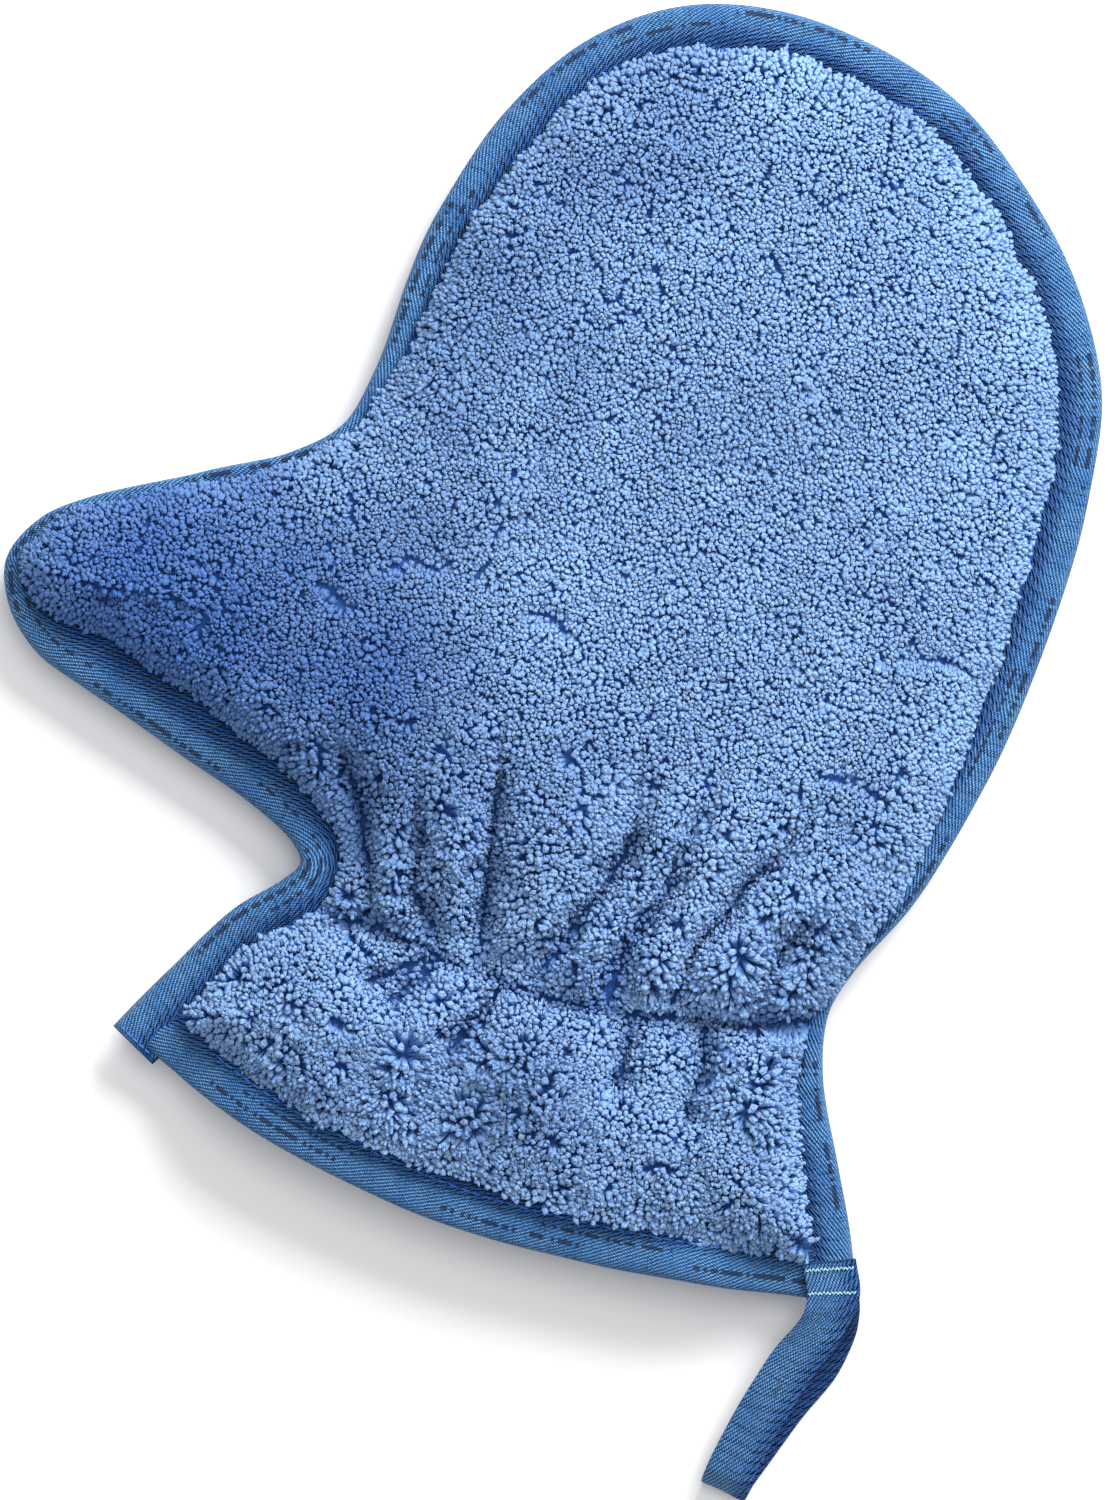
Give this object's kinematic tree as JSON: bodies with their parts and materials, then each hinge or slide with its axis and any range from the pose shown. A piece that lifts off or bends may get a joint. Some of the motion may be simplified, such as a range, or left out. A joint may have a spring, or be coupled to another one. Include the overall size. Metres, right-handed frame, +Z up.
{
  "type": "car wash mitt",
  "caption": "Flat plush wash mitt with a separate thumb, taped edges, an elasticated wrist, an open cuff and a tape hanging loop.",
  "frame": {"origin": "on the table, under the middle of the mitt's bounding box", "axes": "+Y from the cuff to the fingertips, -X towards the thumb, +Z up out of the table"},
  "size_m": [0.2274, 0.3206, 0.0264],
  "materials": {
    "plush": "matt",
    "tape": "satin",
    "elastic": "matt",
    "blue_thread": "satin",
    "pale_thread": "satin"
  },
  "bodies": {
    "mitt": {"front_panel": "plush", "back_panel": "plush", "edge_binding": "tape", "front_cuff_binding": "tape", "back_cuff_binding": "tape", "front_wrist_elastic": "elastic", "back_wrist_elastic": "elastic", "front_elastic_thread": "blue_thread", "back_elastic_thread": "blue_thread", "edge_seam_needle_thread": "blue_thread", "edge_seam_bobbin_thread": "blue_thread", "front_cuff_seam_thread": "blue_thread", "back_cuff_seam_thread": "blue_thread", "corner_tack_thread": "blue_thread", "hang_loop_tab": "tape", "loop_bartack_inner": "pale_thread", "loop_bartack_outer": "pale_thread"},
    "hang_loop": {"hang_loop": "tape"}
  },
  "joints": [
    {"name": "hang_loop_fold", "type": "hinge", "parent": "mitt", "child": "hang_loop", "pos_m": [0.10426, -0.1103, 0.01465], "axis": [-0.9343, -0.3565, 0], "range_deg": [0, 150]}
  ]
}
